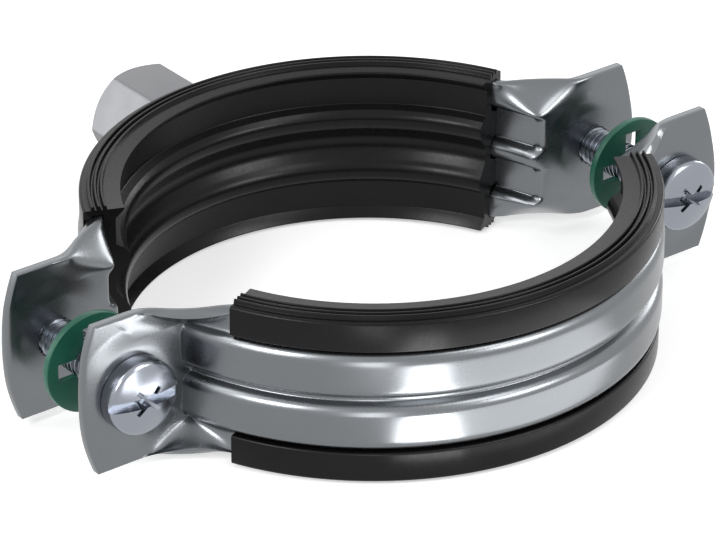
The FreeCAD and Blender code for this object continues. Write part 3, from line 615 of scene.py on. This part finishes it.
def bump(tree, shader, value, strength, distance):
    node = tree.nodes.new("ShaderNodeBump")
    node.inputs["Strength"].default_value = strength
    node.inputs["Distance"].default_value = distance
    tree.links.new(value, node.inputs["Height"])
    tree.links.new(node.outputs["Normal"], shader.inputs["Normal"])


def shade(value, factor):
    return tuple(min(1.0, c * factor) for c in value)


def surface_material(name, base, cloud, tints, grain, detail, rough, strength, distance):
    """Base colour with a cloud pattern, and a fine grain in the roughness and the bump."""
    material, tree, shader, place = new_material(name)
    pattern = noise(tree, place, cloud)
    colours = tint(tree, pattern, shade(base, tints[0]), shade(base, tints[1]))
    tree.links.new(colours, shader.inputs["Base Color"])
    fine = noise(tree, place, grain, detail)
    tree.links.new(span(tree, fine, *rough), shader.inputs["Roughness"])
    bump(tree, shader, fine, strength, distance)
    return material, shader


def steel(name, base, rough, grain):
    material, shader = surface_material(
        name, base, cloud=60.0, tints=(0.97, 1.03), grain=grain, detail=3.0,
        rough=(rough - 0.01, rough + 0.02), strength=0.02, distance=0.000005)
    shader.inputs["Metallic"].default_value = 1.0
    return material


def rubber(name, base):
    material, shader = surface_material(
        name, base, cloud=120.0, tints=(0.85, 1.2), grain=1500.0, detail=3.0,
        rough=(0.26, 0.32), strength=0.2, distance=0.00001)
    shader.inputs["Specular IOR Level"].default_value = 0.17
    return material


def plastic(name, base):
    material, _ = surface_material(
        name, base, cloud=200.0, tints=(0.9, 1.15), grain=1200.0, detail=2.0,
        rough=(0.34, 0.44), strength=0.15, distance=0.00002)
    return material


def ray_kind(tree, kinds):
    """1 for rays of any of these kinds, 0 for others."""
    path = tree.nodes.new("ShaderNodeLightPath")
    value = path.outputs[kinds[0]]
    for kind in kinds[1:]:
        either = tree.nodes.new("ShaderNodeMath")
        either.operation = "MAXIMUM"
        tree.links.new(value, either.inputs[0])
        tree.links.new(path.outputs[kind], either.inputs[1])
        value = either.outputs[0]
    return value


def clad(obj, material):
    obj.data.materials.clear()
    obj.data.materials.append(material)


def turned_round(angle):
    return Matrix.Rotation(angle, 4, "Z")


class CLAMP_OT_bands(bpy.types.Operator):
    """Builds both pressed band halves."""
    bl_idname = "clamp.bands"
    bl_label = "Band Halves"

    # Piece, body, direction of the dished holes, turn and radius of the holes
    HALVES = (("rear_band", "rear_half", -1, 0.0, 2.56),
              ("front_band", "front_half", 1, math.pi, 2.6))
    HOLE_REACH = 6.0

    def execute(self, context):
        sizes, colours = context.scene.clamp_band, context.scene.clamp_colours
        material = steel("zinc_steel", tuple(colours.zinc), rough=0.27, grain=260.0)
        screw, level = mm(sizes.screw_offset), mm(sizes.half_gap)
        for name, body, raised, turn, radius in self.HALVES:
            points, faces = BandShape(sizes, raised).mesh()
            obj = plain_object(name + "_pressing", points, faces)
            register_piece(obj, body, name)
            places = [(side * screw, level, 0) for side in (-1, 1)]
            cut_with(obj, [cylinder("hole", place, (0, 1, 0), radius, self.HOLE_REACH)
                           for place in places])
            obj.data.transform(turned_round(turn))
            clad(obj, material)
        return {"FINISHED"}


class CLAMP_OT_linings(bpy.types.Operator):
    """Builds both rubber linings."""
    bl_idname = "clamp.linings"
    bl_label = "Linings"

    # Piece, body, angle where the lining starts in degrees and turn
    HALVES = (("rear_lining", "rear_half", 24.4, 0.0),
              ("front_lining", "front_half", 24.8, math.pi))
    STATIONS = 170

    def execute(self, context):
        sizes, band = context.scene.clamp_lining, context.scene.clamp_band
        material = rubber("lining_rubber", tuple(context.scene.clamp_colours.rubber))
        section = lining_section(sizes, band)
        for name, body, start, turn in self.HALVES:
            low, high = math.radians(start), math.pi - math.radians(start)
            points, faces = revolve_section(section, np.linspace(low, high, self.STATIONS))
            obj = plain_object(name + "_moulding", points, faces, turned_round(turn))
            register_piece(obj, body, name)
            clad(obj, material)
        return {"FINISHED"}


class CLAMP_OT_nut(bpy.types.Operator):
    """Builds the hexagonal connection nut with its two threads."""
    bl_idname = "clamp.nut"
    bl_label = "Connection Nut"

    # All in millimetres, heights from the pipe axis
    SIDES = 240
    SEAT = 36.68                            # radius of the rib crests under the nut
    SEAT_EDGE, TOP_EDGE, CORNER_EDGE = 0.15, 0.06, 0.03
    MOUTH = 5.1                             # countersink at the outer end
    LARGE_ROWS, SMALL_ROWS = (51.1, 45.0, -0.15), (44.9, 39.05, -0.13)
    LARGE_THREAD, SMALL_THREAD = (1.5, 4.25, 5.0), (1.25, 3.4, 4.0)    # pitch, crest, root
    STEP_RADIUS, FLOOR_RADII = 3.45, (3.2, 0.01)

    def execute(self, context):
        sizes, colours = context.scene.clamp_hardware, context.scene.clamp_colours
        material = steel("nut_steel", tuple(colours.nut), rough=0.34, grain=420.0)
        flats, top = mm(sizes.nut_flats) / 2, mm(sizes.nut_top)

        rows = [("base", share) for share in (0.0, 0.5, 0.93, 1.0)]
        rows += [("wall", share) for share in (0.02, 0.98, 1.0)]
        rows += [("top", share) for share in (0.0, 1.0)]
        rows += [("large", y) for y in np.arange(*self.LARGE_ROWS)] + [("step", self.LARGE_ROWS[1])]
        rows += [("small", y) for y in np.arange(*self.SMALL_ROWS)]
        rows += [("floor", radius) for radius in self.FLOOR_RADII]

        def hexagon(angle):
            turned = (angle + math.pi / 6) % (math.pi / 3) - math.pi / 6
            return min(flats / math.cos(turned), flats / math.cos(math.pi / 6) - self.CORNER_EDGE)

        def seat_level(angle, r):
            return math.sqrt(self.SEAT ** 2 - (r * math.sin(angle)) ** 2)

        def radius_at(angle, row):
            kind, value = rows[row]
            r = hexagon(angle)
            if kind == "base":
                r = max(0.02, r * value - (self.SEAT_EDGE if value == 1.0 else 0.0))
                return r, seat_level(angle, r)
            if kind == "wall":
                crown = top - max(0.0, r - flats) - self.TOP_EDGE
                low = seat_level(angle, r) + self.SEAT_EDGE
                return r, low + (crown - low) * value
            if kind == "top":
                face = flats - self.TOP_EDGE
                return face + (self.MOUTH - flats + self.TOP_EDGE) * value, top
            if kind == "large":
                return thread_radius(-angle, -value, *self.LARGE_THREAD), value
            if kind == "step":
                return self.STEP_RADIUS, value
            if kind == "small":
                return thread_radius(-angle, -value, *self.SMALL_THREAD), value
            return value, self.SMALL_ROWS[1]

        points, faces = lathe(len(rows), radius_at, self.SIDES)
        obj = plain_object("connection_nut_hexagon", points, faces)
        register_piece(obj, "rear_half", "connection_nut")
        clad(obj, material)
        return {"FINISHED"}


class CLAMP_OT_screws(bpy.types.Operator):
    """Builds the two clamping screws with their threads and recesses."""
    bl_idname = "clamp.screws"
    bl_label = "Clamping Screws"

    PIECES = ((-1, "screw_left", 1.5), (1, "screw_right", 5.5))    # side, name, turn in degrees
    SEAT_GAP = 0.02
    THREAD_DEPTH, THREAD_SUNK, THREAD_START = 0.45, 0.06, 0.35
    THREAD_STEPS = 30                       # per turn; the ridge fades in and out over half a turn
    THREAD_END = 0.4
    DOME, DOME_REACH = 24.0, 4.0            # the crown falls by r * r / DOME
    HEAD_DROP, HEAD_ROUND, SEAT_ROUND, TIP_EDGE = 0.98, 0.7, 0.15, 0.5

    def execute(self, context):
        sizes, band = context.scene.clamp_hardware, context.scene.clamp_band
        colours = context.scene.clamp_colours
        material = steel("screw_steel", tuple(colours.screw), rough=0.22, grain=500.0)
        for side, name, turn in self.PIECES:
            obj = self.turned_screw(name, sizes)
            seat = mm(band.half_gap + band.sheet + band.dish_height) + self.SEAT_GAP
            move = Matrix.Translation((side * band.screw_offset, -seat * 0.001, 0))
            obj.data.transform(move @ Matrix.Rotation(math.radians(turn), 4, "Y"))
            register_piece(obj, name, name)
            clad(obj, material)
        return {"FINISHED"}

    def turned_screw(self, name, sizes):
        """Screw with its seat at zero and its tip along +Y."""
        crest, reach = mm(sizes.screw_radius), mm(sizes.screw_length)
        root = crest - self.THREAD_DEPTH
        head, height = mm(sizes.head_radius), mm(sizes.head_height)
        dome = [(r, -height + r * r / self.DOME, 0, 0)
                for r in np.linspace(0.02, self.DOME_REACH, 9)]
        profile = rounded_line(dome + [
            (head, -height + self.HEAD_DROP, self.HEAD_ROUND, 6), (head, 0.0, self.SEAT_ROUND, 3),
            (root, 0.0, 0, 0), (root, reach - self.TIP_EDGE, 0, 0),
            (root - self.TIP_EDGE, reach, 0, 0)])
        points, faces = lathe(len(profile), lambda angle, row: profile[row], 96)
        obj = plain_object(name + "_turned", points, faces)
        cut_with(obj, self.recess(height, head))
        self.add_thread(obj.data, crest, root, mm(sizes.screw_pitch), reach - self.THREAD_END)
        finish_mesh(obj.data, 32.0)
        return obj

    def add_thread(self, mesh, crest, root, pitch, reach):
        """Ridge of the thread wound round the core, sunk a little into it."""
        sunk, steps = self.THREAD_SUNK, self.THREAD_STEPS
        section = ((root - sunk, -0.42), (crest - 0.02, -0.1), (crest, 0.0), (crest - 0.02, 0.1),
                   (root - sunk, 0.42))
        total = int((reach - self.THREAD_END) / pitch * steps)
        points = []
        for k in range(total + 1):
            angle = 2 * math.pi * k / steps
            fade = min(1.0, 2 * k / steps, 2 * (total - k) / steps)
            for radius, offset in section:
                r = root - sunk + (radius - root + sunk) * fade
                y = self.THREAD_START + (k / steps + offset) * pitch
                points.append((r * math.sin(angle) * 0.001, y * 0.001, r * math.cos(angle) * 0.001))
        work = bmesh.new()
        work.from_mesh(mesh)
        spots = [work.verts.new(point) for point in points]
        for face in grid_faces(total + 1, len(section)):
            work.faces.new([spots[n] for n in face])
        work.to_mesh(mesh)
        work.free()

    def recess(self, height, head):
        """Straight slot and two tapered wings of the cross."""
        cutters = [self.wedge("slot", height, depth=1.6, reach=head + 1, half=0.68,
                              floor_reach=head + 1, floor_half=0.60)]
        for angle in (45.0, 135.0):
            wing = self.wedge("wing", height, depth=1.75, reach=2.6, half=0.36,
                              floor_reach=1.0, floor_half=0.1)
            wing.data.transform(Matrix.Rotation(math.radians(angle), 4, "Y"))
            cutters.append(wing)
        return cutters

    def wedge(self, name, height, depth, reach, half, floor_reach, floor_half):
        """Block sunk into the crown, wider at its mouth."""
        points = []
        for y, x, z in ((-height - 0.5, reach * 1.03, half * 1.04),
                        (-height + depth, floor_reach, floor_half)):
            points += [(-x, y, -z), (x, y, -z), (x, y, z), (-x, y, z)]
        faces = [(0, 1, 2, 3), (4, 5, 6, 7), (0, 1, 5, 4), (1, 2, 6, 5), (2, 3, 7, 6), (3, 0, 4, 7)]
        return plain_object(name, points, faces)


class CLAMP_OT_washers(bpy.types.Operator):
    """Builds the two plastic retainer washers."""
    bl_idname = "clamp.washers"
    bl_label = "Retainer Washers"

    ARM_REACH, ARM_HALF = 4.87, 1.15        # cross shaped opening
    SCREW_PLAY, EDGE = 0.05, 0.13
    MIDDLE = -0.00015                       # Y of the middle of the disc, in metres

    def execute(self, context):
        sizes, band = context.scene.clamp_hardware, context.scene.clamp_band
        material = plastic("green_plastic", tuple(context.scene.clamp_colours.green))
        rim = mm(sizes.washer_radius)
        outline = [(rim * math.cos(a), rim * math.sin(a))
                   for a in np.linspace(0, 2 * math.pi, 120, endpoint=False)]
        opening = self.opening(mm(sizes.screw_radius) + self.SCREW_PLAY)
        for side, name in ((-1, "left"), (1, "right")):
            piece = "retainer_washer_" + name
            mesh = self.disc(outline, opening, mm(sizes.washer_thickness))
            mesh.name = piece
            mesh.transform(Matrix.Translation((side * band.screw_offset, self.MIDDLE, 0))
                           @ Matrix.Rotation(math.pi / 2, 4, "X"))
            obj = bpy.data.objects.new(piece + "_disc", mesh)
            bpy.context.scene.collection.objects.link(obj)
            finish_mesh(mesh)
            register_piece(obj, "washer_" + name, piece)
            clad(obj, material)
        return {"FINISHED"}

    def opening(self, hole):
        """Outline of the cross with a round middle that the screw passes through."""
        start = math.asin(self.ARM_HALF / hole)
        arm = [(self.ARM_REACH, -self.ARM_HALF), (self.ARM_REACH, self.ARM_HALF)]
        arm += [(hole * math.cos(a), hole * math.sin(a))
                for a in np.linspace(start, math.pi / 2 - start, 8)]
        spots = []
        for turn in (0.0, math.pi / 2, math.pi, 3 * math.pi / 2):
            c, s = math.cos(turn), math.sin(turn)
            spots += [(x * c - y * s, x * s + y * c) for x, y in arm]
        return spots

    def disc(self, outline, opening, thick):
        """Filled curve with rounded edges, turned into a mesh."""
        curve = bpy.data.curves.new("washer", "CURVE")
        curve.dimensions = "2D"
        curve.fill_mode = "BOTH"
        curve.extrude = (thick / 2 - self.EDGE) * 0.001
        curve.bevel_depth = self.EDGE * 0.001
        curve.bevel_resolution = 2
        curve.offset = -self.EDGE * 0.001
        for spots in (outline, opening):
            spline = curve.splines.new("POLY")
            spline.points.add(len(spots) - 1)
            for point, (x, y) in zip(spline.points, spots):
                point.co = (x * 0.001, y * 0.001, 0, 1)
            spline.use_cyclic_u = True
        holder = bpy.data.objects.new("washer", curve)
        bpy.context.scene.collection.objects.link(holder)
        bpy.context.view_layer.update()
        mesh = bpy.data.meshes.new_from_object(holder)
        bpy.data.objects.remove(holder)
        bpy.data.curves.remove(curve)
        return mesh


class CLAMP_OT_stage(bpy.types.Operator):
    """Sets up the floor, the lamps, the world and the camera."""
    bl_idname = "clamp.stage"
    bl_label = "Stage"

    FLOOR_HALF = 3.0                        # metres
    GLOW = 0.45                             # own light of the floor, for all but glossy rays
    SKY = 0.3                               # world strength for rays that light matt surfaces

    # Soft boxes that face the origin: name, place, width, height and radiance
    SOFT_BOXES = (
        ("front", (0.20, -0.48, 0.29), 0.24, 0.14, 11.0),
        ("front_top", (0.12, -0.31, 0.46), 0.18, 0.18, 5.0),
        ("left", (-0.435, -0.10, 0.30), 0.15, 0.18, 15.0),
        ("back_left_top", (-0.33, 0.16, 0.40), 0.18, 0.18, 4.5),
        ("back_left", (-0.36, 0.37, 0.12), 0.22, 0.18, 3.6),
        ("back_right", (0.27, 0.35, 0.24), 0.24, 0.24, 0.8),
        ("right", (0.52, 0.10, 0.15), 0.16, 0.16, 6.0),
    )
    # Cards just over the floor before the ribs, facing up: the same, and a turn in degrees
    FLOOR_CARDS = (
        ("low_card", (-0.0225, -0.053, -0.0108), 0.012, 0.030, 9.0, -16.0),
        ("low_wide", (0.008, -0.056, -0.0109), 0.046, 0.030, 1.8, 0.0),
    )
    # Card close before the left screw head, and the spot that it faces
    HEAD_CARD = ("head_card", (-0.0395, -0.0505, 0.0040), 0.014, 0.020, 3.6)
    HEAD_SPOT = (-0.0447, -0.0125, 0.0025)

    # Camera fitted to the photograph: angles in degrees, lens in mm, distance and shifts in m
    TURN, LIFT, ROLL = -37.8223, 28.4937, 0.2669
    LENS, SENSOR = 208.86, 36.0
    DISTANCE, SHIFT_ACROSS, SHIFT_UP = 0.52174, -0.0016532, -0.0015201

    def execute(self, context):
        scene = context.scene
        scene.view_settings.view_transform = "Standard"
        self.floor(tuple(scene.clamp_colours.ground))
        self.world(scene)
        self.lamps()
        self.camera(scene)
        return {"FINISHED"}

    def floor(self, base):
        low, s = CAD_BOUNDS[0].z, self.FLOOR_HALF
        mesh = bpy.data.meshes.new("floor")
        corners = [(-s, -s, low), (s, -s, low), (s, s, low), (-s, s, low)]
        mesh.from_pydata(corners, [], [(0, 1, 2, 3)])
        obj = bpy.data.objects.new("floor", mesh)
        bpy.context.scene.collection.objects.link(obj)
        material, tree, shader, place = new_material("floor")
        cloud = noise(tree, place, 3.0, 2.0)
        tree.links.new(tint(tree, cloud, shade(base, 0.995), base), shader.inputs["Base Color"])
        shader.inputs["Roughness"].default_value = 0.6
        shader.inputs["Specular IOR Level"].default_value = 0.0
        shader.inputs["Emission Color"].default_value = (1, 1, 1, 1)
        shader.inputs["Emission Strength"].default_value = self.GLOW
        bright = tree.nodes.new("ShaderNodeEmission")
        either = tree.nodes.new("ShaderNodeMixShader")
        tree.links.new(ray_kind(tree, ("Is Glossy Ray", "Is Transmission Ray")), either.inputs[0])
        tree.links.new(shader.outputs[0], either.inputs[1])
        tree.links.new(bright.outputs[0], either.inputs[2])
        tree.links.new(either.outputs[0], tree.nodes["Material Output"].inputs["Surface"])
        mesh.materials.append(material)

    def world(self, scene):
        world = bpy.data.worlds.new("studio")
        scene.world = world
        world.use_nodes = True
        tree = world.node_tree
        tree.nodes["Background"].inputs["Color"].default_value = (1.0, 1.0, 1.0, 1)
        tree.nodes["Background"].inputs["Strength"].default_value = 1.0
        level = tree.nodes.new("ShaderNodeMapRange")
        level.inputs["To Min"].default_value = self.SKY
        level.inputs["To Max"].default_value = 1.0
        seen = ray_kind(tree, ("Is Camera Ray", "Is Glossy Ray", "Is Transmission Ray"))
        tree.links.new(seen, level.inputs["Value"])
        tree.links.new(level.outputs["Result"], tree.nodes["Background"].inputs["Strength"])

    def lamps(self):
        for box in self.SOFT_BOXES:
            self.lamp(*box, self.facing(box[1], (0, 0, 0)))
        for *card, turn in self.FLOOR_CARDS:
            self.lamp(*card, (math.pi, 0, math.radians(turn)))
        self.lamp(*self.HEAD_CARD, self.facing(self.HEAD_CARD[1], self.HEAD_SPOT))

    def facing(self, place, spot):
        return (Vector(spot) - Vector(place)).to_track_quat("-Z", "Y").to_euler()

    def lamp(self, name, place, width, tall, radiance, rotation):
        lamp = bpy.data.lights.new(name, "AREA")
        lamp.shape = "RECTANGLE"
        lamp.size = width
        lamp.size_y = tall
        lamp.energy = radiance * math.pi * width * tall
        obj = bpy.data.objects.new(name, lamp)
        obj.location = place
        obj.rotation_euler = rotation
        obj.visible_camera = False
        bpy.context.scene.collection.objects.link(obj)

    def camera(self, scene):
        turn, lift, roll = math.radians(self.TURN), math.radians(self.LIFT), math.radians(self.ROLL)
        back = Vector((math.sin(turn) * math.cos(lift), -math.cos(turn) * math.cos(lift),
                       math.sin(lift)))
        right = Vector((math.cos(turn), math.sin(turn), 0))
        up = right.cross(-back)
        across = right * math.cos(roll) + up * math.sin(roll)
        upward = up * math.cos(roll) - right * math.sin(roll)
        data = bpy.data.cameras.new("camera")
        data.sensor_width = self.SENSOR
        data.lens = self.LENS
        data.clip_start = 0.01
        obj = bpy.data.objects.new("camera", data)
        rows = Matrix((across, upward, back)).transposed().to_4x4()
        spot = back * self.DISTANCE + across * self.SHIFT_ACROSS + upward * self.SHIFT_UP
        obj.matrix_world = Matrix.Translation(spot) @ rows
        scene.collection.objects.link(obj)
        scene.camera = obj


class CLAMP_PT_panel(bpy.types.Panel):
    """Sizes, colours and build buttons."""
    bl_idname = "CLAMP_PT_panel"
    bl_label = "Pipe Clamp"
    bl_space_type = "VIEW_3D"
    bl_region_type = "UI"
    bl_category = "Pipe Clamp"

    def draw(self, context):
        layout = self.layout
        for operator in OPERATORS:
            layout.operator(operator.bl_idname)
        for title in ("Band", "Lining", "Hardware", "Colours"):
            group = getattr(context.scene, "clamp_" + title.lower())
            box = layout.box()
            box.label(text=title)
            for name in group.bl_rna.properties.keys():
                if name not in ("rna_type", "name"):
                    box.prop(group, name)


OPERATORS = (CLAMP_OT_bands, CLAMP_OT_linings, CLAMP_OT_nut, CLAMP_OT_screws, CLAMP_OT_washers,
             CLAMP_OT_stage)
GROUPS = (("clamp_band", ClampBandSizes), ("clamp_lining", ClampLiningSizes),
          ("clamp_hardware", ClampHardwareSizes), ("clamp_colours", ClampColours))


def register():
    for name, group in GROUPS:
        bpy.utils.register_class(group)
        setattr(bpy.types.Scene, name, PointerProperty(type=group))
    for operator in OPERATORS:
        bpy.utils.register_class(operator)
    bpy.utils.register_class(CLAMP_PT_panel)


def unregister():
    bpy.utils.unregister_class(CLAMP_PT_panel)
    for operator in reversed(OPERATORS):
        bpy.utils.unregister_class(operator)
    for name, group in reversed(GROUPS):
        delattr(bpy.types.Scene, name)
        bpy.utils.unregister_class(group)


def main():
    register()
    bpy.ops.clamp.bands()
    bpy.ops.clamp.linings()
    bpy.ops.clamp.nut()
    bpy.ops.clamp.screws()
    bpy.ops.clamp.washers()
    bpy.ops.clamp.stage()


if __name__ == "__main__":
    main()
